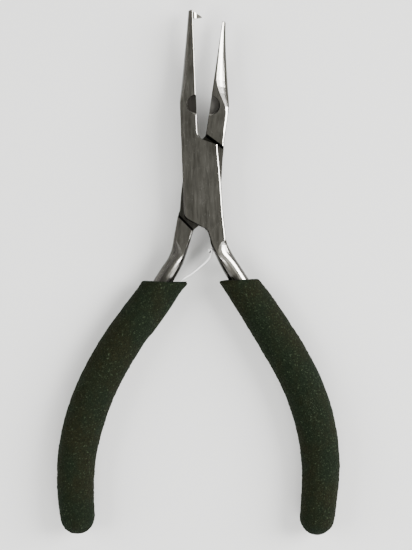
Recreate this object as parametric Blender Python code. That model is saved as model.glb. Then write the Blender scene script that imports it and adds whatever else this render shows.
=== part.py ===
"""Long-nose lap-joint crimping pliers with foam grips and a leaf return spring.

Each half is one forging: jaw, lap plate and tang. It is drawn in its own frame, with the
pivot axis at the origin, the jaw up +Y, the closing plane at x = 0 and the mid-plane of the
joint at z = 0, then flipped and turned to where it stands with the jaws fully open.
Sizes are in millimetres and become metres when a mesh is made.
"""
import math

import bmesh
import bpy
from mathutils import Matrix, Vector

for old in list(bpy.data.objects):
    bpy.data.objects.remove(old, do_unlink=True)

MM = 0.001

# Joint
JOINT_THICKNESS = 7.6        # both lap plates together, ground flat on both sides
LAP_GAP = 0.3                # between the two lap plates
SEAT_GAP = 0.3               # round pieces that are riveted, pressed or pushed together
RIVET_RADIUS = 2.3
RIVET_HEAD_RADIUS = 3.0
RIVET_HEAD_HEIGHT = 0.9
JAW_SHOULDER = (11.3, 62.0)      # distance from the pivot, direction of its normal in degrees
TANG_SHOULDER = (12.0, 233.0)
LAP_CORNER_FILLET = 2.6          # where the jaw's inner face runs into the lap plate
EDGE_CHAMFER = 0.4               # round the ground flats of the joint
EDGE_BULGE = 0.45                # roundness of a worked edge, from 0 for a straight chamfer
EDGE_STEPS = 5                   # facets across a worked edge
FILLET_MARGIN = 0.2              # between the fillet and the other half's shoulder
FILLET_SWEEP = 68.0              # degrees
FILLET_STEPS = 6
POCKET_REACH = 16.0              # past the outline of the joint on both sides
CUTTER_OVERRUN = 1.0             # a cutter stands this far out of what it cuts

# Jaws
CLOSED_GAP = 0.2             # left between the gripping faces when closed
JAW_LENGTH = 45.4            # from the pivot to the end of the shorter jaw
JAW_STEPS = 17               # rows down a jaw
JAW_ROOT = 13.7              # height at which the jaw leaves the joint
TIP_THICKNESS = 2.2
TIP_CHAMFER = 0.25
BOWL_HEIGHT = 21.1           # round nest milled across both jaws
BOWL_RADIUS = 2.65
BOWL_DEPTH = 2.1
BOWL_CHAMFER = 0.25
FACE_CHAMFER = 0.22          # along the gripping faces
CONE_BULGE = 0.6             # roundness of the cone-ground outer side of the jaws
CONE_DROP = 0.93             # share of the half thickness that the cone takes off the outer edge
TOOTH_REACH = 2.5            # how far the hooked tooth leans over the other jaw
TOOTH_HEIGHT = 1.9           # its height at the root
TOOTH_EDGE = 0.35            # height left at its point
TOOTH_CLEARANCE = 0.35       # over the end of the other jaw
TOOTH_INSET = 0.05           # from the chamfers of the jaw's tip
TIP_PAST_TOOTH = 0.55        # end of the longer jaw above its tooth

# Tangs and grips
TANG_WIDTH = 5.0
TANG_THICKNESS = 5.0
TANG_ROUND = 0.45            # share of the tang's width and thickness that each round edge takes
HANDLE_STEPS = 4             # rows for each stretch of a handle
GRIP_DIAMETER = 11.2
FOAM_WALL = 0.6              # least foam round what lies in a grip
GRIP_END_DOME = 0.8          # length of the domed end, as a share of its radius
GRIP_END_COVER = 5.0         # foam past the end of the tang
BORE_OVERRUN = 1.0           # free bore below the end of the tang
MOUTH_THICKNESS = 0.92       # share of the grip's diameter
MOUTH_PLAY = 0.4             # extra room all round the tang at the mouth
MOUTH_WALL = 0.4             # least foam at the mouth's inner corner
SPRING_FLARE = 1.0           # how far the spring holds the mouth open
MOUTH_RUN = 3.0              # length over which the slanted mouth turns square to the handle

# Leaf spring and its rivet
SPRING_THICKNESS = 0.45
SPRING_WIDTH = 3.6
SPRING_ROLL_RADIUS = 0.55
SPRING_RIVET_RADIUS = 0.8
SPRING_RIVET_HEAD_RADIUS = 1.5
SPRING_RIVET_HEAD_HEIGHT = 0.7
SPRING_RIVET_DEPTH = 3.0
SPRING_ROOM_PAST = 1.0           # full room in the grip past the end of the strip
SPRING_ROOM_FADE = 6.0           # length over which that room closes

SMOOTH_ANGLE = 22.0              # steel edges sharper than this stay crisp, in degrees
FOAM_SMOOTH_ANGLE = 60.0

HALF = JOINT_THICKNESS / 2
UPPER_JAW_LENGTH = JAW_LENGTH + TOOTH_CLEARANCE + TOOTH_HEIGHT + TIP_PAST_TOOTH

# The upper half carries the left jaw, the upper lap plate and the right tang. Rows down the
# joint are (height, tang side, jaw side). Rows down the root of the tang are its outer and inner
# edge, how far it has thinned from the joint to the bar, and the width, depth and roundness of
# the outer and the inner worked edge. The mouth of the grip has an outer and an inner corner,
# each a share of the grip's diameter to the side and a length down the handle.
UPPER = dict(
    name="upper_half", flip=True, open_angle=2.07,
    jaw_length=UPPER_JAW_LENGTH, root_width=4.76, tip_width=1.45,
    taper_start=0.24, taper_power=1.07, root_flat=0.93, tip_flat=0.72,
    cone_start=0.2, cone_end=0.42,
    joint=((10.75, -2.0, 4.76), (9.6, -4.9, 4.76), (9.3, -5.55, 4.76), (-2.0, -6.15, 4.74),
           (-10.3, -6.4, 4.7), (-11.0, -6.45, 4.4), (-11.6, -6.5, 3.8), (-13.9, -6.65, -0.2),
           (-14.3, -6.7, -1.1), (-15.2, -6.78, -1.85), (-17.0, -6.9, -2.35)),
    tang=(((-7.0, -17.9), (-2.5, -17.9), 0.0, (0.5, 0.5, 0.3), (0.4, 0.5, 0.3)),
          ((-7.4, -19.3), (-2.7, -19.2), 0.0, (2.3, 1.7, 0.8), (0.6, 0.9, 0.5)),
          ((-8.4, -21.3), (-3.5, -21.3), 0.115, (3.6, 2.9, 0.9), (0.8, 2.0, 0.8)),
          ((-9.3, -22.9), (-4.6, -23.9), 0.46, (2.7, 2.8, 1.0), (1.7, 2.5, 1.0)),
          ((-10.35, -24.6), (-6.1, -27.05), 0.77, (2.2, 2.3, 1.0), (2.1, 2.3, 1.0))),
    handle=((-10.9, -30.4), (-13.8, -35.1), (-20.8, -46.8), (-26.7, -58.4), (-30.3, -69.9),
            (-31.7, -81.4), (-30.9, -92.8), (-29.3, -102.6)),
    mouth=((-0.445, 1.46), (0.412, -4.89)),
    spring_side=False,
)
LOWER = dict(
    name="lower_half", flip=False, open_angle=-8.2,
    jaw_length=JAW_LENGTH, root_width=5.5, tip_width=1.1,
    taper_start=0.25, taper_power=1.2, root_flat=0.9, tip_flat=0.2, cone_start=0.16, cone_end=0.5,
    joint=((10.75, -1.9, 5.6), (9.7, -4.0, 5.66), (9.4, -4.55, 5.7), (5.8, -4.65, 5.85),
           (1.0, -4.65, 6.3), (-4.0, -4.6, 6.15), (-9.8, -4.25, 5.5), (-10.6, -4.45, 5.1),
           (-11.2, -4.5, 4.3), (-13.2, -4.55, 1.8), (-14.6, -4.6, 0.5), (-16.8, -4.68, 0.1)),
    tang=(((-4.72, -18.0), (-0.05, -18.0), 0.0, (0.5, 0.5, 0.3), (0.4, 0.5, 0.3)),
          ((-4.8, -19.6), (-0.25, -19.6), 0.0, (1.8, 1.5, 0.8), (0.6, 0.9, 0.5)),
          ((-5.1, -21.8), (-0.6, -21.9), 0.115, (3.2, 2.8, 0.9), (0.7, 2.0, 0.8)),
          ((-5.8, -24.1), (-1.1, -24.6), 0.46, (2.5, 2.7, 1.0), (1.7, 2.5, 1.0)),
          ((-7.0, -26.5), (-2.2, -27.7), 0.77, (2.2, 2.3, 1.0), (2.1, 2.3, 1.0))),
    handle=((-6.3, -31.0), (-8.6, -36.2), (-14.9, -48.6), (-19.8, -60.85), (-22.55, -72.8),
            (-23.3, -84.4), (-21.8, -95.7), (-19.4, -105.0)),
    mouth=((-0.503, 1.81), (0.571, -4.4)),
    spring_side=True,
)
GRIP_SWELL = (0.93, 0.93, 0.99, 1.01, 1.01, 0.97, 0.91, 0.84)   # of the diameter, down the handle

# Leaf spring, in the lower half's own frame: from its rolled end to where it meets the tang
SPRING_ROLL_CENTRE = (6.2, -19.75)
SPRING_ARCH = ((6.25, -20.5), (6.0, -22.0), (5.15, -23.3), (3.95, -24.7), (1.85, -27.0),
               (-0.4, -29.0))
SPRING_SEAT_START = 1.5          # down the tang, where the strip comes to lie on it
SPRING_LENGTH_ON_TANG = 11.5
SPRING_RIVET_FROM_END = 2.6


def material(name, colour, roughness, metallic):
    made = bpy.data.materials.new(name)
    made.use_nodes = True
    shader = made.node_tree.nodes["Principled BSDF"]
    shader.inputs["Base Color"].default_value = (*colour, 1.0)
    shader.inputs["Roughness"].default_value = roughness
    shader.inputs["Metallic"].default_value = metallic
    return made


def add_object(name, bm, finish=None, smooth_angle=SMOOTH_ANGLE):
    bmesh.ops.remove_doubles(bm, verts=bm.verts, dist=0.001)
    bmesh.ops.recalc_face_normals(bm, faces=bm.faces)
    bmesh.ops.scale(bm, vec=(MM, MM, MM), verts=bm.verts)
    mesh = bpy.data.meshes.new(name)
    bm.to_mesh(mesh)
    bm.free()
    mesh.shade_smooth()
    mesh.set_sharp_from_angle(angle=math.radians(smooth_angle))
    made = bpy.data.objects.new(name, mesh)
    bpy.context.scene.collection.objects.link(made)
    if finish:
        mesh.materials.append(finish)
    return made


def as_cutter(made):
    made.hide_render = True
    made.display_type = "WIRE"
    return made


def add_boolean(target, other, operation="DIFFERENCE"):
    step = target.modifiers.new(other.name, "BOOLEAN")
    step.operation = operation
    step.solver = "EXACT"
    step.object = as_cutter(other)


def loft(rings):
    """Skin a list of equally long rings and cap both ends."""
    bm = bmesh.new()
    rows = [[bm.verts.new(point) for point in ring] for ring in rings]
    for near, far in zip(rows, rows[1:]):
        for index in range(len(near)):
            after = (index + 1) % len(near)
            bm.faces.new((near[index], near[after], far[after], far[index]))
    bm.faces.new(rows[0][::-1])
    bm.faces.new(rows[-1])
    return bm


def prism(outline, low, high):
    return loft([[(x, y, z) for x, y in outline] for z in (low, high)])


def revolve(profile, steps=48):
    """Turn a profile of (radius, height) points round the Z axis, closed top and bottom."""
    turns = [2 * math.pi * step / steps for step in range(steps)]
    return loft([[(r * math.cos(t), r * math.sin(t), z) for t in turns] for r, z in profile])


def refine(rows, per_span):
    """Catmull-Rom rows through the given rows, each a tuple of numbers."""
    finer = []
    for index in range(len(rows) - 1):
        before = rows[max(index - 1, 0)]
        start, end = rows[index], rows[index + 1]
        after = rows[min(index + 2, len(rows) - 1)]
        for step in range(per_span):
            t = step / per_span
            finer.append(tuple(
                0.5 * (2 * b + (c - a) * t + (2 * a - 5 * b + 4 * c - d) * t * t
                       + (3 * b - a - 3 * c + d) * t ** 3)
                for a, b, c, d in zip(before, start, end, after)))
    finer.append(rows[-1])
    return finer


def smoothstep(low, high, value):
    t = min(max((value - low) / (high - low), 0.0), 1.0)
    return t * t * (3 - 2 * t)


def flat_section(row):
    """Ring across a forging from edge A to edge B, with flat faces between its two worked edges.

    An edge takes inset and drop, its width and depth from the corner, and bulge: 0 is a
    straight chamfer, 1 a full elliptic round, and between them a round that meets the
    flat face at a crease.
    """
    ax, ay, bx, by, half, inset_a, drop_a, bulge_a, inset_b, drop_b, bulge_b = row
    width = math.hypot(bx - ax, by - ay)
    along = ((bx - ax) / width, (by - ay) / width)
    quarter = []
    for step in range(EDGE_STEPS + 1):
        share = step / EDGE_STEPS
        turn = math.radians(90 * share)
        quarter.append((share, math.sin(turn), 1 - math.cos(turn)))
    near = []
    far = []
    for share, out, down in quarter:
        near.append((inset_a * (1 - share - bulge_a * (out - share)),
                     half - drop_a * (share + bulge_a * (down - share))))
        far.append((width - inset_b * (1 - share - bulge_b * (out - share)),
                    half - drop_b * (share + bulge_b * (down - share))))
    upper = near[::-1] + far
    lower = [(out, -height) for out, height in upper[::-1]]
    return [(ax + along[0] * out, ay + along[1] * out, height) for out, height in upper + lower]


def oval_section(row, steps=28):
    """Ring across a grip from edge A to edge B, with a given half thickness."""
    ax, ay, bx, by, half = row
    ring = []
    for step in range(steps):
        turn = 2 * math.pi * step / steps
        share = (1 - math.cos(turn)) / 2
        ring.append((ax + (bx - ax) * share, ay + (by - ay) * share, half * math.sin(turn)))
    return ring


def sides_of(points):
    """Unit vectors toward the closing plane, square to a route that runs down a handle."""
    sides = []
    for index in range(len(points)):
        before = points[max(index - 1, 0)]
        after = points[min(index + 1, len(points) - 1)]
        run = Vector((after[0] - before[0], after[1] - before[1])).normalized()
        sides.append(Vector((-run.y, run.x)))
    return sides


def jaw_rows(half):
    """Rows from the tip to the root: flat faces that turn into a cone-ground outer side."""
    rows = []
    reach = half["jaw_length"] - JAW_ROOT
    shares = [1.0 - step / JAW_STEPS for step in range(JAW_STEPS + 1)]
    for f in [1.0 + TIP_CHAMFER / reach] + shares:
        at = min(f, 1.0)
        back = TIP_CHAMFER if f > 1.0 else 0.0
        taper = min((1 - at) / (1 - half["taper_start"]), 1.0) ** half["taper_power"]
        width = half["tip_width"] + (half["root_width"] - half["tip_width"]) * taper
        cone = smoothstep(half["cone_start"], half["cone_end"], at)
        thick = jaw_half_thickness(half, at)
        flat = half["root_flat"] + (half["tip_flat"] - half["root_flat"]) * cone
        drop = EDGE_CHAMFER + (CONE_DROP * thick - EDGE_CHAMFER) * cone
        bulge = EDGE_BULGE + (CONE_BULGE - EDGE_BULGE) * cone
        y = JAW_ROOT + (reach - TIP_CHAMFER) * f
        rows.append((CLOSED_GAP / 2 + back / 2, y, width - back, y, thick - back,
                     FACE_CHAMFER, FACE_CHAMFER, EDGE_BULGE,
                     (width - back) * (1 - flat), drop - back, bulge))
    return rows


def jaw_half_thickness(half, share):
    """Half thickness of a jaw, from the full joint at its root to the tip."""
    return HALF + (TIP_THICKNESS / 2 - HALF) * share


def fillet_top():
    """Height at which the fillet leaves the jaw's inner face.

    It crosses the closing plane just under the shoulder, where the other half's plate lies in
    this half's pocket, so the two forgings don't meet when the jaws close.
    """
    distance, angle = JAW_SHOULDER
    crossing = distance / math.sin(math.radians(angle)) - FILLET_MARGIN
    turn = math.acos(1 - CLOSED_GAP / 2 / LAP_CORNER_FILLET)
    return min(crossing + LAP_CORNER_FILLET * math.sin(turn), JAW_ROOT)


def fillet_rows(half):
    """Rows round the fillet between the jaw's inner face and the lap plate."""
    rows = []
    for step in range(FILLET_STEPS + 1):
        turn = math.radians(FILLET_SWEEP * step / FILLET_STEPS)
        x = CLOSED_GAP / 2 - LAP_CORNER_FILLET * (1 - math.cos(turn))
        y = fillet_top() - LAP_CORNER_FILLET * math.sin(turn)
        rows.append((x, y, half["root_width"], y, HALF, FACE_CHAMFER, FACE_CHAMFER, EDGE_BULGE,
                     EDGE_CHAMFER, EDGE_CHAMFER, EDGE_BULGE))
    return rows


def joint_rows(half):
    edges = (EDGE_CHAMFER, EDGE_CHAMFER, EDGE_BULGE) * 2
    return [(a, y, b, y, HALF, *edges) for y, a, b in half["joint"]]


def handle_route(half):
    """Points down the middle of the handle, each with its unit vector toward the closing plane
    and its distance down the handle."""
    route = refine(half["handle"], HANDLE_STEPS)
    travelled = [0.0]
    for before, point in zip(route, route[1:]):
        travelled.append(travelled[-1] + math.dist(before, point))
    return list(zip([Vector(point) for point in route], sides_of(route), travelled))


def handle_down_to(half, height):
    """Handle rows from its top down to a height, with the last one just there."""
    route = handle_route(half)
    kept = [row for row in route if row[0].y > height]
    (near, side, start), (far, far_side, end) = kept[-1], route[len(kept)]
    share = (near.y - height) / (near.y - far.y)
    last = near.lerp(far, share), side.lerp(far_side, share).normalized(), start + (end - start) * share
    return kept + [last]


def tang_end(half):
    return half["handle"][-1][1] + GRIP_END_COVER


def across(point, side, outward, inward, thick):
    """Row square to the handle: outer edge, inner edge, half thickness."""
    outer = point - side * outward
    inner = point + side * inward
    return (outer.x, outer.y, inner.x, inner.y, thick)


def tang_rows(half):
    """Rows down the tang: the flats run out, then a round-edged bar follows the handle."""
    edges = (TANG_ROUND * TANG_WIDTH, TANG_ROUND * TANG_THICKNESS, 1.0) * 2
    bar = [(*across(point, side, TANG_WIDTH / 2, TANG_WIDTH / 2, TANG_THICKNESS / 2), *edges)
           for point, side, _ in handle_down_to(half, tang_end(half))]
    root = [(*outer, *inner, HALF + (TANG_THICKNESS / 2 - HALF) * thinned, *outer_edge, *inner_edge)
            for outer, inner, thinned, outer_edge, inner_edge in half["tang"]]
    return refine(root + bar[:1], 3)[:-1] + bar


def lap_pocket():
    """Room for the other half's lap plate, between the jaw shoulder and the tang shoulder."""
    corners = []
    for distance, angle in (JAW_SHOULDER, TANG_SHOULDER):
        normal = Vector((math.cos(math.radians(angle)), math.sin(math.radians(angle))))
        for way in (1, -1):
            corner = normal * distance + Vector((normal.y, -normal.x)) * POCKET_REACH * way
            corners.append((corner.x, corner.y))
    return prism(corners, -LAP_GAP / 2, HALF + CUTTER_OVERRUN)


def rivet_profile(gap, overrun):
    """Half of a rivet with a countersunk head at each end, grown by a gap."""
    shank, head = RIVET_RADIUS + gap, RIVET_HEAD_RADIUS + gap
    neck = HALF - RIVET_HEAD_HEIGHT
    profile = [(head, -HALF), (shank, -neck), (shank, neck), (head, HALF)]
    if overrun:
        profile = [(head, -HALF - overrun)] + profile + [(head, HALF + overrun)]
    return profile


def seat(half, made, frame):
    """Flip a piece to its side of the joint and hang it on the half's turned frame."""
    lift = Matrix.Translation((0, 0, HALF * MM))
    flip = Matrix.Rotation(math.pi, 4, "Y") if half["flip"] else Matrix.Identity(4)
    made.data.transform(lift @ flip)
    made.parent = frame
    return made


def frame_of(half):
    frame = bpy.data.objects.new(half["name"] + "_frame", None)
    frame.rotation_euler.z = math.radians(half["open_angle"])
    bpy.context.scene.collection.objects.link(frame)
    return frame


def build_half(half, frame, finish):
    rows = jaw_rows(half) + fillet_rows(half) + joint_rows(half) + tang_rows(half)
    forging = seat(half, add_object(half["name"], loft([flat_section(row) for row in rows]), finish), frame)
    if half["flip"]:
        add_boolean(forging, seat(half, build_tooth(half), frame), "UNION")
    name = half["name"]
    add_boolean(forging, seat(half, add_object(name + "_lap_pocket", lap_pocket()), frame))
    rivet_hole = revolve(rivet_profile(SEAT_GAP, CUTTER_OVERRUN))
    add_boolean(forging, seat(half, add_object(name + "_rivet_hole", rivet_hole), frame))
    for side, face in (("_front_bowl", 1), ("_back_bowl", -1)):
        bowl = bowl_cutter(half)
        bmesh.ops.scale(bowl, vec=(1, 1, face), verts=bowl.verts)
        bmesh.ops.translate(bowl, vec=(0, BOWL_HEIGHT, 0), verts=bowl.verts)
        add_boolean(forging, seat(half, add_object(name + side, bowl), frame))
    return forging


def bowl_cutter(half):
    """Round nest: a flat floor, a straight wall and a chamfered rim at the jaw's face."""
    face = jaw_half_thickness(half, (BOWL_HEIGHT - JAW_ROOT) / (half["jaw_length"] - JAW_ROOT))
    rim = face - BOWL_CHAMFER
    return revolve([(BOWL_RADIUS, face - BOWL_DEPTH), (BOWL_RADIUS, rim),
                    (BOWL_RADIUS + 3 * BOWL_CHAMFER, rim + 3 * BOWL_CHAMFER)])


def build_tooth(half):
    """Hooked tooth that leans from the tip of the longer jaw over the end of the other.

    It is skinned over rectangles across the jaw: full height and thickness at the root, a
    short steep facet, then a thin claw that narrows to its point.
    """
    under = LOWER["jaw_length"] + TOOTH_CLEARANCE
    full = TIP_THICKNESS / 2 - FACE_CHAMFER - TOOTH_INSET
    stations = ((-0.6 * half["tip_width"] / TOOTH_REACH, 0.0, 1.0, 1.0), (0.16, 0.0, 0.95, 0.97),
                (0.36, 0.02, 0.72, 0.6), (0.7, 0.06, 0.4, 0.45), (1.0, 0.1, 0.0, 0.3))
    rings = []
    for reach, rise, height, thick in stations:
        x = CLOSED_GAP / 2 - TOOTH_REACH * reach
        low = under + TOOTH_HEIGHT * rise
        high = under + TOOTH_EDGE + (TOOTH_HEIGHT - TOOTH_EDGE) * height
        z = full * thick
        rings.append([(x, low, -z), (x, high, -z), (x, high, z), (x, low, z)])
    return add_object("tooth_blank", loft(rings))


def grip_rows(half):
    """Outer rows of a foam grip, from its slanted mouth to its round end."""
    outer, inner = mouth_corners(half)
    rows = [(*outer, *inner, MOUTH_THICKNESS * GRIP_DIAMETER / 2)]
    swell = [share for share, in refine([(share,) for share in GRIP_SWELL], HANDLE_STEPS)]
    for (point, side, travelled), share in list(zip(handle_route(half), swell))[HANDLE_STEPS:]:
        reaches = [max(GRIP_DIAMETER * share / 2, hollow + FOAM_WALL) for hollow in bore(half, travelled)]
        rows.append(across(point, side, *reaches))
    body = refine(rows[:2], 3)[:-1] + rows[1:]
    dome = []
    last = body.pop()
    centre = Vector(((last[0] + last[2]) / 2, (last[1] + last[3]) / 2))
    side = Vector((last[2] - last[0], last[3] - last[1])) / 2
    down = Vector((side.y, -side.x)).normalized()
    radius = side.length
    centre -= down * radius * GRIP_END_DOME
    for angle in (0, 25, 48, 66, 80, 87):
        turn = math.radians(angle)
        middle = centre + down * radius * GRIP_END_DOME * math.sin(turn)
        reach = side * math.cos(turn)
        dome.append((middle.x - reach.x, middle.y - reach.y, middle.x + reach.x, middle.y + reach.y,
                     last[4] * math.cos(turn)))
    while body and body[-1][1] + body[-1][3] < 2 * centre.y:
        body.pop()
    return body + dome


def mouth_corners(half):
    """Outer and inner corner of the slanted mouth, beside the top of the handle."""
    point, side, _ = handle_route(half)[0]
    down = Vector((side.y, -side.x))
    (outer_share, outer_run), (inner_share, inner_run) = half["mouth"]
    inner_reach = max(inner_share * GRIP_DIAMETER, bore_mouth(half)[1] + MOUTH_WALL)
    outer = point + side * outer_share * GRIP_DIAMETER + down * outer_run
    inner = point + side * inner_reach + down * inner_run
    return outer, inner


def mouth_crossing(half, offset):
    """Where a line beside the tang, offset toward the closing plane, crosses the grip's mouth."""
    point, side, _ = handle_route(half)[0]
    down = Vector((side.y, -side.x))
    start = point + side * offset
    outer, inner = mouth_corners(half)
    slant = inner - outer
    return start + down * ((outer - start).cross(slant) / down.cross(slant))


def spring_room():
    """Depth that the spring strip and its rivet head take beside the tang."""
    return SPRING_THICKNESS + SPRING_RIVET_HEAD_HEIGHT + 2 * SEAT_GAP


def bore(half, travelled):
    """Outward, inward and thickness reach of the oval bore, a distance down the handle.

    Where room for the spring widens the oval, it is deepened too, so that it clears the tang.
    """
    fade = SPRING_LENGTH_ON_TANG + SPRING_ROOM_PAST
    room = spring_room() if half["spring_side"] else 0.0
    room *= 1 - smoothstep(fade, fade + SPRING_ROOM_FADE, travelled)
    reach = TANG_WIDTH / 2 + SEAT_GAP
    return reach, reach + room, TANG_THICKNESS / 2 + SEAT_GAP + room / 4


def bore_mouth(half):
    """The same three at the mouth, where the bore has more room and the spring leaves it."""
    outward, inward, thick = bore(half, 0.0)
    flare = SPRING_FLARE if half["spring_side"] else 0.0
    return outward + MOUTH_PLAY, inward + MOUTH_PLAY + flare, thick + MOUTH_PLAY


def bore_rows(half):
    """Inner rows of a grip, from the mouth down to a seat below the end of the tang."""
    outward, inward, thick = bore_mouth(half)
    rows = [(*mouth_crossing(half, -outward), *mouth_crossing(half, inward), thick)]
    for point, side, travelled in handle_down_to(half, tang_end(half) - BORE_OVERRUN):
        if travelled >= MOUTH_RUN:
            rows.append(across(point, side, *bore(half, travelled)))
    return rows


def build_grip(name, half, frame, finish):
    rings = [oval_section(row) for row in grip_rows(half)[::-1] + bore_rows(half)]
    return seat(half, add_object(name, loft(rings), finish, FOAM_SMOOTH_ANGLE), frame)


def offset_point(half, at, offset):
    """Point beside the tang, a distance down the handle, and the direction toward the plane."""
    route = refine(half["handle"], 2 * HANDLE_STEPS)
    travelled = 0.0
    for index in range(1, len(route)):
        here, there = Vector(route[index - 1]), Vector(route[index])
        length = (there - here).length
        if travelled + length >= at:
            run = (there - here) / length
            point = here + run * (at - travelled)
            side = Vector((-run.y, run.x))
            return point + side * offset, side
        travelled += length
    raise ValueError("the spring is longer than the tang")


def spring_route():
    """Middle line of the strip, from the rolled end to its end inside the grip."""
    offset = TANG_WIDTH / 2 + SEAT_GAP + SPRING_THICKNESS / 2
    route = [Vector(point) for point in refine(SPRING_ARCH, 4)]
    steps = 8
    for step in range(steps + 1):
        at = SPRING_SEAT_START + (SPRING_LENGTH_ON_TANG - SPRING_SEAT_START) * step / steps
        route.append(offset_point(LOWER, at, offset)[0])
    return route


def build_spring(frame, finish):
    route = spring_route()
    sides = sides_of(route)
    left = [point - side * SPRING_THICKNESS / 2 for point, side in zip(route, sides)]
    right = [point + side * SPRING_THICKNESS / 2 for point, side in zip(route, sides)]
    centre = Vector(SPRING_ROLL_CENTRE)
    first = math.atan2(*(right[0] - centre).yx)
    last = math.atan2(*(left[0] - centre).yx)
    if last < first:
        last += 2 * math.pi
    steps = 16
    roll = []
    for step in range(1, steps):
        turn = first + (last - first) * step / steps
        roll.append(centre + SPRING_ROLL_RADIUS * Vector((math.cos(turn), math.sin(turn))))
    outline = [(p.x, p.y) for p in roll + left + right[::-1]]
    strip = add_object("leaf_spring", prism(outline, -SPRING_WIDTH / 2, SPRING_WIDTH / 2), finish)
    seat(LOWER, strip, frame)
    radius = SPRING_RIVET_RADIUS + SEAT_GAP
    hole = turned_on_tang(revolve([(radius, -CUTTER_OVERRUN), (radius, spring_room())], 24))
    add_boolean(strip, seat(LOWER, add_object("leaf_spring_hole", hole), frame))
    return strip


def turned_on_tang(bm):
    """Lay a piece turned about Z square on the tang, where the spring's rivet stands."""
    at = SPRING_LENGTH_ON_TANG - SPRING_RIVET_FROM_END
    point, side = offset_point(LOWER, at, TANG_WIDTH / 2)
    axis = Vector((side.x, side.y, 0.0))
    turn = axis.to_track_quat("Z", "Y").to_matrix().to_4x4()
    bmesh.ops.transform(bm, matrix=Matrix.Translation((point.x, point.y, 0)) @ turn, verts=bm.verts)
    return bm


def build_spring_rivet(frame, finish):
    top = SPRING_THICKNESS + 2 * SEAT_GAP
    profile = [(SPRING_RIVET_RADIUS, -SPRING_RIVET_DEPTH), (SPRING_RIVET_RADIUS, top)]
    for angle in (0, 30, 55, 75):
        turn = math.radians(angle)
        profile.append((SPRING_RIVET_HEAD_RADIUS * math.cos(turn),
                        top + SPRING_RIVET_HEAD_HEIGHT * math.sin(turn)))
    return seat(LOWER, add_object("spring_rivet", turned_on_tang(revolve(profile, 24)), finish), frame)


def spring_rivet_hole():
    radius = SPRING_RIVET_RADIUS + SEAT_GAP
    return turned_on_tang(revolve([(radius, -SPRING_RIVET_DEPTH - SEAT_GAP), (radius, CUTTER_OVERRUN)], 24))


steel = material("satin_steel", (0.30, 0.28, 0.26), 0.34, 1.0)
spring_steel = material("spring_steel", (0.34, 0.33, 0.32), 0.28, 1.0)
foam = material("green_foam", (0.022, 0.032, 0.018), 0.85, 0.0)

lower_frame = frame_of(LOWER)
upper_frame = frame_of(UPPER)
lower_half = build_half(LOWER, lower_frame, steel)
upper_half = build_half(UPPER, upper_frame, steel)
add_boolean(lower_half, seat(LOWER, add_object("spring_rivet_hole", spring_rivet_hole()), lower_frame))

rivet = seat(LOWER, add_object("pivot_rivet", revolve(rivet_profile(0.0, 0.0)), steel), lower_frame)
build_spring(lower_frame, spring_steel)
build_spring_rivet(lower_frame, steel)
build_grip("left_grip", LOWER, lower_frame, foam)
build_grip("right_grip", UPPER, upper_frame, foam)
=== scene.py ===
import math

import bpy
import numpy as np
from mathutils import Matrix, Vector


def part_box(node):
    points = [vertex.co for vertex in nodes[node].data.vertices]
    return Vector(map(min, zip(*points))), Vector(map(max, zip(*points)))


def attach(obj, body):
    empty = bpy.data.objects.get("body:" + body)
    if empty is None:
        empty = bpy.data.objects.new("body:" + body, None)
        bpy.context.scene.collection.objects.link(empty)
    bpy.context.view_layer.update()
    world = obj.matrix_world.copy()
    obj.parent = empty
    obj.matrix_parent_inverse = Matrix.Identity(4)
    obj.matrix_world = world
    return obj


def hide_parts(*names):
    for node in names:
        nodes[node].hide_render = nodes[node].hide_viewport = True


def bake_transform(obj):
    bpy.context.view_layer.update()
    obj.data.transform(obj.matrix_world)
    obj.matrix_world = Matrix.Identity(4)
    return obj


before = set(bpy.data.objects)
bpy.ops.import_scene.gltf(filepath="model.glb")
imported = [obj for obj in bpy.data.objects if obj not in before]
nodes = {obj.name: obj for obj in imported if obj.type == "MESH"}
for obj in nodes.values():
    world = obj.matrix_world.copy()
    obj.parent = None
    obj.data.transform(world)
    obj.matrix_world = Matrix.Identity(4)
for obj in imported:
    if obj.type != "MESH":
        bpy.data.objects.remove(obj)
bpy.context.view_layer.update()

mm = 0.001
tiny = 1e-9        # keeps a division off nought
print("frame loaded:", len(nodes), "nodes")


# small tools for surfaces

def splineThrough(rows, count):
    # Catmull-Rom: (2b + (c-a)t + (2a-5b+4c-d)t^2 + (3b-a-3c+d)t^3) / 2 between rows b and c
    rows = np.asarray(rows, float)
    around = np.vstack([rows[:1], rows, rows[-1:]])
    at = np.linspace(0, len(rows) - 1, count)
    start = np.minimum(at.astype(int), len(rows) - 2)
    t = (at - start)[:, None]
    a, b, c, d = (around[start + shift] for shift in range(4))
    return 0.5 * (2 * b + (c - a) * t + (2 * a - 5 * b + 4 * c - d) * t ** 2
                  + (3 * b - a - 3 * c + d) * t ** 3)


def sidesOf(path):
    # unit vector square to a flat path, its run turned a quarter left
    run = np.gradient(path, axis=0)
    run /= np.linalg.norm(run, axis=1, keepdims=True)
    return np.stack([-run[:, 1], run[:, 0]], axis=1)


def standOn(points, half):
    # from a half's own drawing in mm to its place: flip about Y, turn about the pivot, lift
    turn = math.radians(half["turn"])
    x, y, z = points[..., 0] * half["flip"], points[..., 1], points[..., 2] * half["flip"]
    return mm * np.stack([x * math.cos(turn) - y * math.sin(turn),
                          x * math.sin(turn) + y * math.cos(turn), z + half["lift"]], axis=-1)


def volumeSign(grid):
    # sign of the volume inside a grid of rings, by the divergence theorem
    centred = grid - grid.mean((0, 1))
    across = np.roll(centred, -1, axis=1) - centred
    down = np.diff(centred, axis=0)
    return np.sign((centred[:-1] * np.cross(across[:-1], down)).sum())


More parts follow.
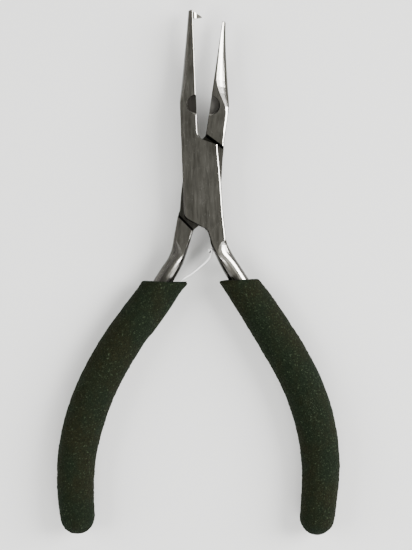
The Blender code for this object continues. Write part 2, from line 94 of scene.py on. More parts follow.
def gridMesh(name, grid, material):
    # rings of points: columns wrap round, and the first and last ring close on their middles
    if volumeSign(grid) > 0:
        grid = grid[:, ::-1]
    rows, columns = grid.shape[:2]
    index = np.arange(rows * columns).reshape(rows, columns)
    after = np.roll(index, -1, axis=1)
    quads = np.stack([index[:-1], index[1:], after[1:], after[:-1]], axis=-1).reshape(-1, 4)
    first, last = rows * columns, rows * columns + 1
    points = np.vstack([grid.reshape(-1, 3), grid[0].mean(0), grid[-1].mean(0)])
    tops = np.stack([index[0], after[0], np.full(columns, first)], axis=-1)
    ends = np.stack([after[-1], index[-1], np.full(columns, last)], axis=-1)
    mesh = bpy.data.meshes.new(name)
    mesh.from_pydata(points.tolist(), [], quads.tolist() + tops.tolist() + ends.tolist())
    mesh.polygons.foreach_set("use_smooth", np.ones(len(mesh.polygons), bool))
    corner = np.empty(len(mesh.loops), np.int32)
    mesh.loops.foreach_get("vertex_index", corner)
    row, column = np.divmod(np.minimum(corner, rows * columns - 1), columns)
    layer = mesh.uv_layers.new(name="along")
    layer.data.foreach_set("uv", np.stack([column / columns, row / (rows - 1)], axis=1).ravel())
    mesh.materials.append(material)
    made = bpy.data.objects.new(name, mesh)
    bpy.context.scene.collection.objects.link(made)
    return made


# shader groups

def newGroup(name, inputs, outputs):
    group = bpy.data.node_groups.new(name, "ShaderNodeTree")
    for label, kind, value in inputs:
        socket = group.interface.new_socket(label, in_out="INPUT", socket_type=kind)
        if value is not None:
            socket.default_value = value
    for label, kind in outputs:
        group.interface.new_socket(label, in_out="OUTPUT", socket_type=kind)
    return group, group.nodes.new("NodeGroupInput"), group.nodes.new("NodeGroupOutput")


def link(tree, source, target):
    tree.links.new(source, target)


def math2(tree, operation, first, second=None, clamp=False):
    node = tree.nodes.new("ShaderNodeMath")
    node.operation = operation
    node.use_clamp = clamp
    for socket, value in zip(node.inputs, (first, second)):
        if isinstance(value, bpy.types.NodeSocket):
            link(tree, value, socket)
        elif value is not None:
            socket.default_value = value
    return node.outputs[0]


def stretched(tree, vector, scale, turn=0.0):
    node = tree.nodes.new("ShaderNodeMapping")
    node.inputs["Scale"].default_value = scale
    node.inputs["Rotation"].default_value = (0, 0, math.radians(turn))
    link(tree, vector, node.inputs["Vector"])
    return node.outputs[0]


def noise(tree, vector, detail=3.0, roughness=0.5):
    # the vector is already stretched, so the texture's own scale is 1
    node = tree.nodes.new("ShaderNodeTexNoise")
    node.inputs["Scale"].default_value = 1.0
    node.inputs["Detail"].default_value = detail
    node.inputs["Roughness"].default_value = roughness
    link(tree, vector, node.inputs["Vector"])
    return node.outputs["Fac"]


def band(tree, value, low, high, outLow=0.0, outHigh=1.0):
    node = tree.nodes.new("ShaderNodeMapRange")
    node.interpolation_type = "SMOOTHSTEP"
    for label, number in (("From Min", low), ("From Max", high), ("To Min", outLow), ("To Max", outHigh)):
        node.inputs[label].default_value = number
    link(tree, value, node.inputs["Value"])
    return node.outputs[0]


def mixed(tree, factor, first, second):
    node = tree.nodes.new("ShaderNodeMix")
    node.data_type = "RGBA"
    sockets = {socket.identifier: socket for socket in node.inputs}
    for label, value in (("Factor_Float", factor), ("A_Color", first), ("B_Color", second)):
        if isinstance(value, bpy.types.NodeSocket):
            link(tree, value, sockets[label])
        else:
            sockets[label].default_value = value if label == "Factor_Float" else (*value, 1)
    return [socket for socket in node.outputs if socket.type == "RGBA"][0]


def placeGroup(tree, group, vector, **values):
    node = tree.nodes.new("ShaderNodeGroup")
    node.node_tree = group
    link(tree, vector, node.inputs["Vector"])
    for label, value in values.items():
        node.inputs[label].default_value = value
    return node.outputs


grinding = dict(fine=(9000, 260, 2500), fineShare=0.6, broad=(1500, 90, 700), broadShare=0.4,
                scratches=((28, (2600, 210, 900), 0.5), (-37, (3100, 260, 900), 0.52),
                           (78, (2400, 230, 900), 0.49)),       # turn, stretch, level cut out of the noise
                shown=0.6, scratchWidth=0.011, scratchDepth=0.8, patches=(330, 330, 330),
                patchBand=(0.54, 0.68), stains=(170, 120, 170), stainBand=(0.36, 0.7))


def buildGroundSteel():
    # fine grinding lines down the tool, crossed by short handling scratches and faint stains
    p = grinding
    group, source, sink = newGroup(
        "groundSteel",
        [("Vector", "NodeSocketVector", None), ("Scratches", "NodeSocketFloat", p["shown"])],
        [("Lines", "NodeSocketFloat"), ("Scratch Mask", "NodeSocketFloat"),
         ("Stains", "NodeSocketFloat"), ("Height", "NodeSocketFloat")])
    vector = source.outputs["Vector"]
    fine = noise(group, stretched(group, vector, p["fine"]), detail=4.0, roughness=0.6)
    broad = noise(group, stretched(group, vector, p["broad"]))
    lines = math2(group, "ADD", math2(group, "MULTIPLY", fine, p["fineShare"]),
                  math2(group, "MULTIPLY", broad, p["broadShare"]))
    scratch = None
    for turn, scale, level in p["scratches"]:
        wander = noise(group, stretched(group, vector, scale, turn), detail=1.0)
        off = math2(group, "ABSOLUTE", math2(group, "SUBTRACT", wander, level))
        thin = band(group, off, 0.0, p["scratchWidth"], 1.0, 0.0)
        patch = noise(group, stretched(group, vector, p["patches"], turn), detail=2.0)
        single = math2(group, "MULTIPLY", thin, band(group, patch, *p["patchBand"]))
        scratch = single if scratch is None else math2(group, "MAXIMUM", scratch, single)
    scratch = math2(group, "MULTIPLY", scratch, source.outputs["Scratches"], clamp=True)
    stains = noise(group, stretched(group, vector, p["stains"]), detail=5.0, roughness=0.62)
    height = math2(group, "SUBTRACT", lines, math2(group, "MULTIPLY", scratch, p["scratchDepth"]))
    link(group, lines, sink.inputs["Lines"])
    link(group, scratch, sink.inputs["Scratch Mask"])
    link(group, band(group, stains, *p["stainBand"]), sink.inputs["Stains"])
    link(group, height, sink.inputs["Height"])
    return group


edgeWearAndPaintedDarkWall = dict(grain=(900, 900, 900), ragged=0.02, flatAbove=0.985, roundBelow=0.93, steepBand=(0.65, 0.9))


def buildWornEdgeAndPaintedDarkWall():
    # from how far the normal leans off upright, |z|: Mask is 0 on flats and 1 on chamfers and rounds,
    # broken up a little along their borders, and Steep is 1 on walls, where a dark reflection is painted
    p = edgeWearAndPaintedDarkWall
    group, source, sink = newGroup(
        "wornEdgeAndPaintedDarkWall",
        [("Vector", "NodeSocketVector", None), ("Normal", "NodeSocketVector", None),
         ("Flat Above", "NodeSocketFloat", p["flatAbove"]),
         ("Round Below", "NodeSocketFloat", p["roundBelow"])],
        [("Mask", "NodeSocketFloat"), ("Steep", "NodeSocketFloat")])
    parts = group.nodes.new("ShaderNodeSeparateXYZ")
    link(group, source.outputs["Normal"], parts.inputs[0])
    lean = math2(group, "ABSOLUTE", parts.outputs["Z"])
    rough = noise(group, stretched(group, source.outputs["Vector"], p["grain"]))
    offset = math2(group, "MULTIPLY", math2(group, "SUBTRACT", rough, 0.5), p["ragged"])
    lean = math2(group, "ADD", lean, offset)
    span = math2(group, "SUBTRACT", source.outputs["Flat Above"], source.outputs["Round Below"])
    short = math2(group, "SUBTRACT", source.outputs["Flat Above"], lean)
    link(group, math2(group, "DIVIDE", short, span, clamp=True), sink.inputs["Mask"])
    link(group, band(group, lean, *p["steepBand"], 1.0, 0.0), sink.inputs["Steep"])
    return group


foamGrain = dict(cellScale=2600.0, cellBand=(0.1, 0.75), cellShare=0.5, grain=(4200, 4200, 4200),
                 patches=(95, 70, 95), specks=(2300, 2300, 2300), speckBand=(0.6, 0.72))


def buildFoamCells():
    # closed foam cells as pits between small crowns, over slow patches of wear and dust
    p = foamGrain
    group, source, sink = newGroup(
        "foamCells",
        [("Vector", "NodeSocketVector", None), ("Cell Scale", "NodeSocketFloat", p["cellScale"])],
        [("Cells", "NodeSocketFloat"), ("Patches", "NodeSocketFloat"), ("Specks", "NodeSocketFloat"),
         ("Height", "NodeSocketFloat")])
    vector = source.outputs["Vector"]
    cell = group.nodes.new("ShaderNodeTexVoronoi")
    link(group, vector, cell.inputs["Vector"])
    link(group, source.outputs["Cell Scale"], cell.inputs["Scale"])
    cells = band(group, cell.outputs["Distance"], *p["cellBand"])
    grain = noise(group, stretched(group, vector, p["grain"]), detail=4.0, roughness=0.7)
    patches = noise(group, stretched(group, vector, p["patches"]), detail=4.0, roughness=0.6)
    specks = noise(group, stretched(group, vector, p["specks"]), detail=2.0)
    height = math2(group, "ADD", math2(group, "MULTIPLY", cells, p["cellShare"]), grain)
    link(group, cells, sink.inputs["Cells"])
    link(group, patches, sink.inputs["Patches"])
    link(group, band(group, specks, *p["speckBand"]), sink.inputs["Specks"])
    link(group, height, sink.inputs["Height"])
    return group


def newMaterial(name):
    made = bpy.data.materials.new(name)
    made.use_nodes = True
    tree = made.node_tree
    return made, tree, tree.nodes["Principled BSDF"]


def bump(tree, shader, height, strength, distance):
    node = tree.nodes.new("ShaderNodeBump")
    node.inputs["Strength"].default_value = strength
    node.inputs["Distance"].default_value = distance
    link(tree, height, node.inputs["Height"])
    link(tree, node.outputs["Normal"], shader.inputs["Normal"])


groundSteel = buildGroundSteel()
wornEdgeAndPaintedDarkWall = buildWornEdgeAndPaintedDarkWall()
foamCells = buildFoamCells()
print("shader groups built")


# steel of the two halves

# side is a painted dark reflection laid on the walls
steel = dict(flat=(0.122, 0.117, 0.098), stained=(0.085, 0.081, 0.066), edge=(0.66, 0.64, 0.59),
             scratch=(0.40, 0.39, 0.36), side=(0.035, 0.033, 0.027), shoulderShade=(0.012, 0.012, 0.011),
             lineBand=(0.3, 0.7), lineShare=0.16, roughnessLineBand=(0.25, 0.75),
             flatRoughness=0.36, smoother=0.05, rougher=0.07, edgeRoughness=0.2,
             bumpStrength=0.16, bumpDepth=0.00004)
upperBowlShade = (0.075, 0.071, 0.062)       # painted shade, over dark unpolished steel, in the upper half's bowl
lowerBowlGrey = (0.24, 0.23, 0.21)          # and a paler grey painted in the lower half's

# where the bowls and shoulders lie in a half's own frame, in metres; a shoulder is a distance and an angle
joint = dict(bowlHeight=0.0211, bowlRadius=0.0029, bowlRim=0.0003, bowlDepth=(0.0019, 0.0027), top=0.0076,
             jawShoulder=(0.01135, 62), tangShoulder=(0.01205, 233), jawShadeWidth=0.0005, tangShadeWidth=0.0006,
             shadeSpread=1.3, wallBlur=0.00012, shadeDepth=(0.0033, 0.0036))


def shoulderMask(tree, parts, shoulder, width, flip):
    # 1 from a shoulder's wall to a width beside it, measured along the shoulder's normal; it places painted
    # shade
    reach, angle = shoulder
    normal = (flip * math.cos(math.radians(angle)), math.sin(math.radians(angle)))
    along = math2(tree, "ADD", math2(tree, "MULTIPLY", parts.outputs["X"], normal[0]),
                  math2(tree, "MULTIPLY", parts.outputs["Y"], normal[1]))
    near = band(tree, along, reach - width * joint["shadeSpread"], reach - width)
    return math2(tree, "MULTIPLY", near, band(tree, along, reach, reach + joint["wallBlur"], 1.0, 0.0))


def steelMaterial(name, turn, flip, scratches, bowlFloor):
    # ground flats, bright worn edges, walls painted dark as a painted reflection, bowl floors painted set
    # greys (painted shade in the upper half's) and painted shade under the shoulders
    made, tree, shader = newMaterial(name)
    place = tree.nodes.new("ShaderNodeTexCoord")
    own = stretched(tree, place.outputs["Object"], (1, 1, 1), -turn)
    ground = placeGroup(tree, groundSteel, own, Scratches=scratches)
    border = placeGroup(tree, wornEdgeAndPaintedDarkWall, own)
    edge, steep = border["Mask"], border["Steep"]
    geometry = tree.nodes.new("ShaderNodeNewGeometry")
    link(tree, geometry.outputs["Normal"], edge.node.inputs["Normal"])
    colour = mixed(tree, ground["Stains"], steel["flat"], steel["stained"])
    lighter = band(tree, ground["Lines"], *steel["lineBand"], 0.0, steel["lineShare"])
    colour = mixed(tree, lighter, colour, steel["scratch"])
    colour = mixed(tree, ground["Scratch Mask"], colour, steel["scratch"])
    colour = mixed(tree, edge, colour, steel["edge"])
    # painted dark reflection: walls and steep sides coloured near black
    colour = mixed(tree, steep, colour, steel["side"])
    parts = tree.nodes.new("ShaderNodeSeparateXYZ")
    link(tree, own, parts.inputs[0])
    # floors and walls of the bowls, painted a set grey (shade in the upper half's): a disc round their
    # middle, below the jaw's top face
    middle = math2(tree, "SUBTRACT", parts.outputs["Y"], joint["bowlHeight"])
    away = math2(tree, "SQRT", math2(tree, "ADD", math2(tree, "POWER", parts.outputs["X"], 2.0),
                                     math2(tree, "POWER", middle, 2.0)))
    inDisc = band(tree, away, joint["bowlRadius"] - joint["bowlRim"], joint["bowlRadius"], 1.0, 0.0)
    height = math2(tree, "ABSOLUTE", math2(tree, "SUBTRACT", parts.outputs["Z"], joint["top"] / 2))
    low = band(tree, height, *joint["bowlDepth"], 1.0, 0.0)
    bowlFloorMask = math2(tree, "MULTIPLY", inDisc, low)
    colour = mixed(tree, bowlFloorMask, colour, bowlFloor)
    # painted shade in the corners under the shoulders, where the gap between the halves lies in shadow
    shoulderShade = math2(tree, "MAXIMUM",
                   shoulderMask(tree, parts, joint["jawShoulder"], joint["jawShadeWidth"], flip),
                   shoulderMask(tree, parts, joint["tangShoulder"], joint["tangShadeWidth"], flip))
    shoulderShade = math2(tree, "MULTIPLY", shoulderShade, band(tree, height, *joint["shadeDepth"], 1.0, 0.0))
    colour = mixed(tree, shoulderShade, colour, steel["shoulderShade"])
    link(tree, colour, shader.inputs["Base Color"])
    shader.inputs["Metallic"].default_value = 1.0
    worn = band(tree, ground["Lines"], *steel["roughnessLineBand"],
                steel["flatRoughness"] - steel["smoother"], steel["flatRoughness"] + steel["rougher"])
    smooth = math2(tree, "MULTIPLY", math2(tree, "SUBTRACT", worn, steel["edgeRoughness"]), edge)
    link(tree, math2(tree, "SUBTRACT", worn, smooth), shader.inputs["Roughness"])
    bump(tree, shader, ground["Height"], steel["bumpStrength"], steel["bumpDepth"])
    return made


# the near-white colours are a painted highlight on the strip, the black one a painted shade on its eye
springPaintedLightAndScratches = dict(dull=(0.97, 0.965, 0.955), bright=(1.0, 1.0, 0.99), scratch=(0.5, 0.49, 0.47),
                    eyeShade=(0.03, 0.028, 0.026), eyeShadeFrom=(0.1, 0.15), scratches=0.4, metallic=0.1,
                    lineBand=(0.3, 0.7), roughness=(0.3, 0.42), bumpStrength=0.1, bumpDepth=0.00002)


def springMaterial():
    # strip painted near white as a painted highlight, whose rolled eye, the first part of its length, is
    # painted black as shade
    p = springPaintedLightAndScratches
    made, tree, shader = newMaterial("springSteel")
    place = tree.nodes.new("ShaderNodeTexCoord")
    ground = placeGroup(tree, groundSteel, place.outputs["Object"], Scratches=p["scratches"])
    along = tree.nodes.new("ShaderNodeSeparateXYZ")
    link(tree, place.outputs["UV"], along.inputs[0])
    eyeShade = band(tree, along.outputs["Y"], *p["eyeShadeFrom"], 1.0, 0.0)
    # near-white painted highlight along the strip
    colour = mixed(tree, ground["Lines"], p["dull"], p["bright"])
    colour = mixed(tree, ground["Scratch Mask"], colour, p["scratch"])
    # painted shade on the rolled eye
    colour = mixed(tree, eyeShade, colour, p["eyeShade"])
    link(tree, colour, shader.inputs["Base Color"])
    shader.inputs["Metallic"].default_value = p["metallic"]
    link(tree, band(tree, ground["Lines"], *p["lineBand"], *p["roughness"]), shader.inputs["Roughness"])
    bump(tree, shader, ground["Height"], p["bumpStrength"], p["bumpDepth"])
    return made


foamFinish = dict(green=(0.0072, 0.0125, 0.0052), brown=(0.0115, 0.0122, 0.0042), patchBand=(0.38, 0.62),
                  cell=(0.0022, 0.0036, 0.0018), cellShare=0.55, speck=(0.045, 0.06, 0.034), speckShare=0.75,
                  roughness=(0.78, 0.92), specular=0.1, bumpStrength=1.0, bumpDepth=0.0003)


def foamMaterial():
    # dark green foam, browner where hands hold it, with darker cells and pale specks
    p = foamFinish
    made, tree, shader = newMaterial("greenFoam")
    place = tree.nodes.new("ShaderNodeTexCoord")
    foam = placeGroup(tree, foamCells, place.outputs["Object"])
    colour = mixed(tree, band(tree, foam["Patches"], *p["patchBand"]), p["green"], p["brown"])
    colour = mixed(tree, band(tree, foam["Cells"], 0.0, 1.0, 0.0, p["cellShare"]), colour, p["cell"])
    colour = mixed(tree, math2(tree, "MULTIPLY", foam["Specks"], p["speckShare"]), colour, p["speck"])
    link(tree, colour, shader.inputs["Base Color"])
    link(tree, band(tree, foam["Cells"], 0.0, 1.0, *p["roughness"]), shader.inputs["Roughness"])
    shader.inputs["Specular IOR Level"].default_value = p["specular"]
    bump(tree, shader, foam["Height"], p["bumpStrength"], p["bumpDepth"])
    return made


# the halves' own drawings, in millimetres: flip and turn place them, the route runs down the handle

lowerHalf = dict(flip=1, turn=-8.2, lift=3.8,
                 route=[(-6.3, -31.0), (-8.6, -36.2), (-14.9, -48.6), (-19.8, -60.85), (-22.55, -72.8),
                        (-23.3, -84.4), (-21.8, -95.7), (-19.4, -105.0)])
upperHalf = dict(flip=-1, turn=2.07, lift=3.8,
                 route=[(-10.9, -30.4), (-13.8, -35.1), (-20.8, -46.8), (-26.7, -58.4), (-30.3, -69.9),
                        (-31.7, -81.4), (-30.9, -92.8), (-29.3, -102.6)])
print("handle routes set")

upperSteel = steelMaterial("upperSteel", upperHalf["turn"], upperHalf["flip"], scratches=0.75, bowlFloor=upperBowlShade)
lowerSteel = steelMaterial("lowerSteel", lowerHalf["turn"], lowerHalf["flip"], scratches=0.5, bowlFloor=lowerBowlGrey)
springSteel = springMaterial()
greenFoam = foamMaterial()
for name, finish in (("upper_half", upperSteel), ("lower_half", lowerSteel), ("spring_rivet", lowerSteel)):
    nodes[name].data.materials.clear()
    nodes[name].data.materials.append(finish)
print("materials built")


# pivot rivet, ground flush with both sides

pivotRivet = dict(head=3.29, shank=2.55, headHeight=0.9, top=3.8, faceRings=(0.6, 1.8), columns=96,
                  sharpAngle=20)      # millimetres and degrees


def buildPivotRivet():
    # a profile of (radius, height) turned round the pivot: (r cos a, r sin a, z)
    p = pivotRivet
    neck = p["top"] - p["headHeight"]
    upper = [(ring, p["top"]) for ring in p["faceRings"]] + [(p["head"], p["top"]), (p["shank"], neck)]
    lower = [(radius, -height) for radius, height in reversed(upper)]
    profile = np.array(upper + [(p["shank"], 0.0)] + lower)
    turn = np.linspace(0, 2 * math.pi, p["columns"], endpoint=False)
    radius, height = profile[:, :1], profile[:, 1:]
    grid = np.stack([radius * np.cos(turn), radius * np.sin(turn), height + 0 * turn + p["top"]], axis=-1)
    made = gridMesh("pivotRivet", grid * mm, upperSteel)
    made.data.set_sharp_from_angle(angle=math.radians(p["sharpAngle"]))
    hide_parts("pivot_rivet")
    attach(made, "lower_body")
    return made


buildPivotRivet()
print("pivot rivet built")


# leaf spring: a strip with a rolled eye, riveted to the lower half's tang

leafSpring = dict(thickness=0.62, width=3.6, eye=(6.1, -19.85), eyeRadius=0.42, eyeFrom=300, eyeTo=-10,
                  arch=[(6.4, -20.6), (6.0, -22.0), (5.15, -23.3), (3.95, -24.7), (1.85, -27.0),
                        (-0.4, -29.0)],
                  offset=3.025, seatFrom=1.5, seatTo=11.5, roundness=2.6, columns=40, rows=240,
                  eyePoints=16, tangPoints=120, seatPoints=6,
                  bendFrom=(-0.4, -29.0, 0.0), bendTo=(6.1, -20.6, 0.0))


def buildLeafSpring():
    # an oblong carried along a path: the eye's arc, the free arch, then the seat beside the tang
    p = leafSpring
    turn = np.radians(np.linspace(p["eyeFrom"], p["eyeTo"], p["eyePoints"]))
    eye = np.array(p["eye"]) + p["eyeRadius"] * np.stack([np.cos(turn), np.sin(turn)], axis=1)
    tang = splineThrough(lowerHalf["route"], p["tangPoints"])
    beside = tang + sidesOf(tang) * p["offset"]
    travelled = np.r_[0, np.cumsum(np.linalg.norm(np.diff(tang, axis=0), axis=1))]
    at = np.linspace(p["seatFrom"], p["seatTo"], p["seatPoints"])
    seat = np.stack([np.interp(at, travelled, beside[:, axis]) for axis in (0, 1)], axis=1)
    path = splineThrough(np.vstack([eye, p["arch"], seat]), p["rows"])
    side = sidesOf(path)
    # section with rounded edges: |x/a|^n + |z/b|^n = 1, n being the roundness
    power = p["roundness"]
    turn = np.linspace(0, 2 * math.pi, p["columns"], endpoint=False)
    reach = (np.abs(np.cos(turn)) ** power + np.abs(np.sin(turn)) ** power) ** (-1 / power)
    out, up = reach * np.cos(turn) * p["thickness"] / 2, reach * np.sin(turn) * p["width"] / 2
    flat = path[:, None, :] + side[:, None, :] * out[None, :, None]
    grid = np.concatenate([flat, np.broadcast_to(up[None, :, None], flat.shape[:2] + (1,))], axis=-1)
    made = gridMesh("leafSpring", standOn(grid, lowerHalf), springSteel)
    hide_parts("leaf_spring")
    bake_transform(made)
    return made


buildLeafSpring()
print("leaf spring built")


# foam grips

gripShape = dict(diameter=11.2, swell=(0.93, 0.93, 0.99, 1.01, 1.01, 0.97, 0.91, 0.84), dome=1.05,
                 lip=0.7, flare=0.08, flareReach=1.1, mouthThickness=0.92, columns=220, rows=330, lipRows=8,
                 domeRows=40, boreRows=26, grain=0.04, grainSmoothing=1, lumps=0.03, lumpSmoothing=24,
                 skinFade=6, endFade=12, bore=2.72, boreFrom=0.32, boreTo=1.45, borePlay=0.1, mouthRoom=0.2,
                 roomThickening=5, roomFrom=2.4, roomFade=0.7, knots=15, knotSteps=4, denseRows=1200,
                 boreSteps=100, lipRun=12, fill=0.95)       # millimetres, and handle knots for the bore
leftGrip = dict(name="leftGrip", node="left_grip", body="lower_body", half=lowerHalf, seed=11,
                mouth=((-0.451, 2.75), (0.571, -4.4)), springRoom=3.1)
rightGrip = dict(name="rightGrip", node="right_grip", body="upper_body", half=upperHalf, seed=23,
                 mouth=((-0.426, 1.8), (0.431, -4.55)), springRoom=0.0)


def smoothed(field, times):
    # each point becomes the mean of itself and its neighbours, then the spread is set to 1
    for _ in range(times):
        field = (field + np.roll(field, 1, 1) + np.roll(field, -1, 1)) / 3
        field = (field + np.roll(field, 1, 0) + np.roll(field, -1, 0)) / 3
    return field / field.std()


def gripRings(outer, inner, thick, columns):
    # oval across the handle: middle - half width cos a, height sin a
    turn = np.linspace(0, 2 * math.pi, columns, endpoint=False)
    middle, reach = (outer + inner) / 2, (inner - outer) / 2
    flat = middle[:, None, :] - reach[:, None, :] * np.cos(turn)[None, :, None]
    up = thick[:, None] * np.sin(turn)
    return np.concatenate([flat, up[..., None]], axis=-1)


def length(vectors):
    return np.linalg.norm(vectors, axis=-1, keepdims=True)


def handleSkin(grip):
    # the handle's line moved to both sides by half the diameter times the swell, from the mouth's own
    # corners on; a row holds the outer edge's x and y, the inner edge's x and y, and the half thickness
    p, half = gripShape, grip["half"]
    route = splineThrough(half["route"], p["knots"])
    side = sidesOf(splineThrough(half["route"], p["knotSteps"] * (p["knots"] - 1) + 1))[::p["knotSteps"]]
    swell = splineThrough([(share,) for share in p["swell"]], p["knots"])[:, 0]
    reach = p["diameter"] * swell[:, None] / 2
    down = np.array([side[0, 1], -side[0, 0]])
    corners = [route[0] + side[0] * share * p["diameter"] + down * run for share, run in grip["mouth"]]
    mouthHalf = p["mouthThickness"] * p["diameter"] / 2
    controls = np.hstack([np.vstack([corners[0], (route - side * reach)[2:]]),
                          np.vstack([corners[1], (route + side * reach)[2:]]),
                          np.vstack([[mouthHalf], reach[2:]])])
    dense = splineThrough(controls, p["denseRows"])
    steps = np.diff(dense[:, :2] + dense[:, 2:4], axis=0)
    travelled = np.r_[0, np.cumsum(np.linalg.norm(steps, axis=1) / 2)]
    endRadius = np.linalg.norm(dense[-1, 2:4] - dense[-1, :2]) / 2
    at = np.linspace(p["lip"], travelled[-1] - p["dome"] * endRadius, p["rows"])
    body = np.stack([np.interp(at, travelled, dense[:, k]) for k in range(5)], axis=1)
    return body, at, route[0], side[0], down, corners


def boreRings(grip, mouthMiddle, mouthSide, down, corners):
    # along the tang from its blind end up to the mouth, wider on the inner side where the spring lies
    p, half = gripShape, grip["half"]
    at = np.linspace(len(half["route"]) - p["boreTo"], p["boreFrom"], p["boreRows"])
    fine = splineThrough(half["route"], p["boreSteps"] * (len(half["route"]) - 1) + 1)
    rows = (at * p["boreSteps"]).astype(int)
    point, side = fine[rows], sidesOf(fine)[rows]
    room = grip["springRoom"] * np.clip((p["roomFrom"] - at) / p["roomFade"], 0, 1)[:, None]
    outer, inner = point - side * p["bore"], point + side * (p["bore"] + room)
    thick = np.full(p["boreRows"], p["bore"]) + room[:, 0] / p["roomThickening"]
    # where it meets the slanted mouth
    slant = (corners[1] - corners[0]) / np.linalg.norm(corners[1] - corners[0])
    edges = []
    for offset in (-p["bore"] - p["borePlay"], p["bore"] + p["borePlay"] + grip["springRoom"]):
        start = mouthMiddle + mouthSide * offset
        share = np.cross(corners[0] - start, slant) / np.cross(down, slant)
        edges.append(start + down * share)
    mouthThick = p["bore"] + p["mouthRoom"] + grip["springRoom"] / p["roomThickening"]
    return np.vstack([outer, edges[:1]]), np.vstack([inner, edges[1:]]), np.r_[thick, mouthThick]


def roughenedSkin(rings, seed):
    # every point moves along its normal by grain and lumps, which fade out at both ends; the bore stays
    p = gripShape
    rng = np.random.default_rng(seed)
    field = smoothed(rng.standard_normal(rings.shape[:2]), p["grainSmoothing"]) * p["grain"]
    field += smoothed(rng.standard_normal(rings.shape[:2]), p["lumpSmoothing"]) * p["lumps"]
    rowTangent, ringTangent = np.gradient(rings, axis=0), np.roll(rings, -1, 1) - np.roll(rings, 1, 1)
    normal = np.cross(ringTangent, rowTangent)
    normal /= length(normal) + tiny
    outward = rings - rings.mean(1, keepdims=True)
    normal *= np.sign((outward * normal).sum(-1, keepdims=True) + tiny)
    row = np.arange(len(rings))
    fade = np.clip((row - p["boreRows"] - 1) / p["skinFade"], 0, 1)
    fade = fade * np.clip((len(rings) - row) / p["endFade"], 0, 1)
    return rings + normal * (field * fade[:, None])[..., None]


def buildGrip(grip):
    p = gripShape
    body, at, mouthMiddle, mouthSide, down, corners = handleSkin(grip)
    # the skin swells out a little just under the mouth: flare exp(-(d / flare reach)^2)
    flare = p["flare"] * np.exp(-((at - p["lip"]) / p["flareReach"]) ** 2)
    across = (body[:, 2:4] - body[:, :2]) / length(body[:, 2:4] - body[:, :2])
    outer, inner = body[:, :2] - across * flare[:, None], body[:, 2:4] + across * flare[:, None]
    thick = body[:, 4] + flare
    # round lip, a quarter circle of radius r: inset r (1 - sin a), raised by r cos a
    roll = np.linspace(0, math.pi / 2, p["lipRows"], endpoint=False)[:, None]
    inset, depth = p["lip"] * (1 - np.sin(roll)), -p["lip"] * np.cos(roll)
    outerRun, innerRun = (np.diff(edge[[0, p["lipRun"]]], axis=0) for edge in (outer, inner))
    lipOuter = outer[:1] + across[:1] * inset + outerRun / np.linalg.norm(outerRun) * depth
    lipInner = inner[:1] - across[:1] * inset + innerRun / np.linalg.norm(innerRun) * depth
    lipThick = thick[0] - inset[:, 0]
    # domed end: the ring's middle moves on by dome r sin a while the ring shrinks by cos a
    roll = np.linspace(0, math.pi / 2, p["domeRows"])[1:-1, None]
    endMiddle, endReach = (outer[-1:] + inner[-1:]) / 2, (inner[-1:] - outer[-1:]) / 2
    endDown = np.array([[endReach[0, 1], -endReach[0, 0]]]) * p["dome"]
    domeMiddle = endMiddle + endDown * np.sin(roll)
    domeOuter, domeInner = domeMiddle - endReach * np.cos(roll), domeMiddle + endReach * np.cos(roll)
    boreOuter, boreInner, boreThick = boreRings(grip, mouthMiddle, mouthSide, down, corners)
    rings = gripRings(np.vstack([boreOuter, lipOuter, outer, domeOuter]),
                      np.vstack([boreInner, lipInner, inner, domeInner]),
                      np.r_[boreThick, lipThick, thick, thick[-1] * np.cos(roll[:, 0])],
                      p["columns"])
    made = gridMesh(grip["name"], standOn(roughenedSkin(rings, grip["seed"]), grip["half"]), greenFoam)
    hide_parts(grip["node"])
    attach(made, grip["body"])
    return made


for grip in (leftGrip, rightGrip):
    buildGrip(grip)
print("foam grips built")


# table, camera and light

table = dict(size=1.6, colour=(0.80, 0.80, 0.785), paler=(0.84, 0.84, 0.82), palerShare=0.3,
             cloud=(9, 9, 9), cloudBand=(0.3, 0.7), roughness=0.75, specular=0.2)
# the frame's upright side takes in what is seen at the height of the focus
camera = dict(middle=(0.0019, -0.0275), height=0.42, seen=0.15675, focus=0.005, sensor=24.0)
lights = (
    dict(name="rightWindow", at=(0.60, 0.10, 0.42), size=(0.45, 0.6), power=13.6, mirrored=True),
    dict(name="frontWindow", at=(0.10, -0.55, 0.62), size=(0.6, 0.3), power=5.4, mirrored=True),
    dict(name="leftWall", at=(-0.60, 0.0, 0.42), size=(0.6, 0.6), power=7.0, mirrored=False),
)


def buildTable():
    made, tree, shader = newMaterial("paleTable")
    place = tree.nodes.new("ShaderNodeTexCoord")
    cloud = noise(tree, stretched(tree, place.outputs["Object"], table["cloud"]))
    share = band(tree, cloud, *table["cloudBand"], 0.0, table["palerShare"])
    colour = mixed(tree, share, table["colour"], table["paler"])
    link(tree, colour, shader.inputs["Base Color"])
    shader.inputs["Roughness"].default_value = table["roughness"]
    shader.inputs["Specular IOR Level"].default_value = table["specular"]
    low = min(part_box("left_grip")[0].z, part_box("right_grip")[0].z)
    reach = table["size"] / 2
    mesh = bpy.data.meshes.new("table")
    corners = [(x * reach, y * reach, low) for x, y in ((-1, -1), (1, -1), (1, 1), (-1, 1))]
    mesh.from_pydata(corners, [], [(0, 1, 2, 3)])
    mesh.materials.append(made)
    floor = bpy.data.objects.new("table", mesh)
    bpy.context.scene.collection.objects.link(floor)


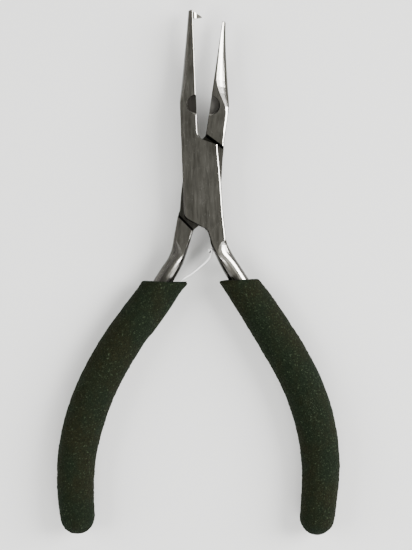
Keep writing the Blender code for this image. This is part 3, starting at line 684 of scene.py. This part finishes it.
def buildCamera():
    data = bpy.data.cameras.new("camera")
    data.sensor_fit = "VERTICAL"
    data.sensor_height = camera["sensor"]
    data.lens = camera["sensor"] * (camera["height"] - camera["focus"]) / camera["seen"]
    made = bpy.data.objects.new("camera", data)
    made.location = (*camera["middle"], camera["height"])
    bpy.context.scene.collection.objects.link(made)
    bpy.context.scene.camera = made


def buildLights():
    for lamp in lights:
        data = bpy.data.lights.new(lamp["name"], "AREA")
        data.shape = "RECTANGLE"
        data.size, data.size_y = lamp["size"]
        data.energy = lamp["power"]
        made = bpy.data.objects.new(lamp["name"], data)
        made.location = lamp["at"]
        made.rotation_euler = Vector(lamp["at"]).to_track_quat("Z", "Y").to_euler()
        made.visible_glossy = lamp["mirrored"]
        bpy.context.scene.collection.objects.link(made)


room = dict(bright=(1.3, 1.31, 1.32), low=(0.22, 0.21, 0.20), lowBand=(0.15, 0.45),
            left=(0.16, 0.155, 0.15), leftBand=(-0.7, -0.35), ceiling=(0.15, 0.15, 0.14),
            ceilingBand=(0.78, 0.95), fill=(0.5, 0.5, 0.49), backdrop=(0.8, 0.8, 0.79), strength=0.85)


def buildRoom():
    # dark overhead and low down, bright in between, with a dark side to the left; matt surfaces get an
    # even fill and the open view an even backdrop
    world = bpy.data.worlds.new("room")
    bpy.context.scene.world = world
    world.use_nodes = True
    tree = world.node_tree
    background = tree.nodes["Background"]
    place = tree.nodes.new("ShaderNodeTexCoord")
    parts = tree.nodes.new("ShaderNodeSeparateXYZ")
    link(tree, place.outputs["Generated"], parts.inputs[0])
    ceiling = band(tree, parts.outputs["Z"], *room["ceilingBand"])
    low = band(tree, parts.outputs["Z"], *room["lowBand"], 1.0, 0.0)
    left = band(tree, parts.outputs["X"], *room["leftBand"], 1.0, 0.0)
    colour = mixed(tree, low, room["bright"], room["low"])
    colour = mixed(tree, left, colour, room["left"])
    colour = mixed(tree, ceiling, colour, room["ceiling"])
    seen = tree.nodes.new("ShaderNodeLightPath")
    colour = mixed(tree, seen.outputs["Is Diffuse Ray"], colour, room["fill"])
    colour = mixed(tree, seen.outputs["Is Camera Ray"], colour, room["backdrop"])
    link(tree, colour, background.inputs["Color"])
    background.inputs["Strength"].default_value = room["strength"]


buildTable()
buildCamera()
buildLights()
buildRoom()
print("table, camera and light set")
